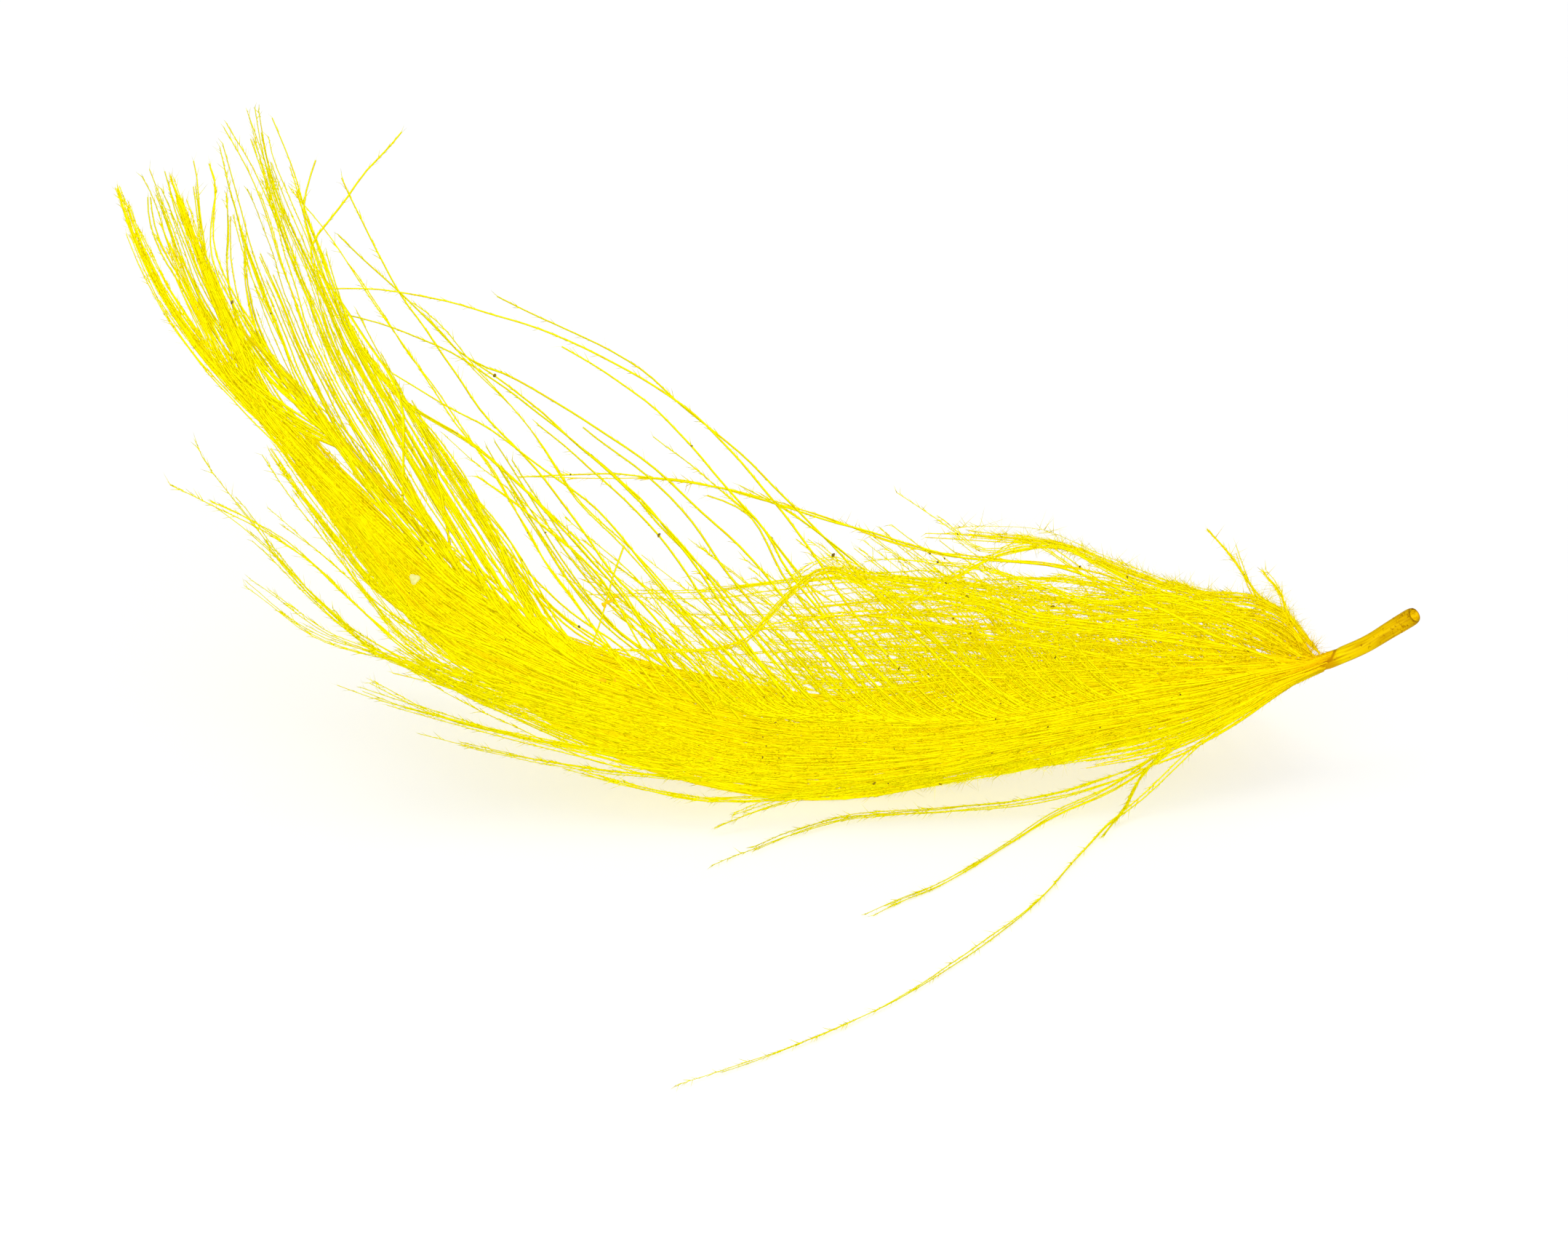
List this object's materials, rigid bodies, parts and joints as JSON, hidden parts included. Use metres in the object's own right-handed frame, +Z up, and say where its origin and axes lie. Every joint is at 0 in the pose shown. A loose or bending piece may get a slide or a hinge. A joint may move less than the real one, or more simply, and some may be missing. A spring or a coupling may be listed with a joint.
{
  "type": "cul de canard feather",
  "caption": "Small soft feather with a bare quill, a curved shaft, long loose barbs and a few stray barbs, lying on the belly of its curve.",
  "frame": {"origin": "centre of the bounding box, on the surface that the feather lies on", "axes": "+X along the feather towards the cut end of the quill, +Y away from the picture's camera, +Z up"},
  "size_m": [0.0438, 0.0322, 0.0198],
  "materials": {
    "dyed_keratin": "soft dull sheen of dyed barbs"
  },
  "bodies": {
    "root": {"feather": "dyed_keratin"}
  },
  "joints": []
}
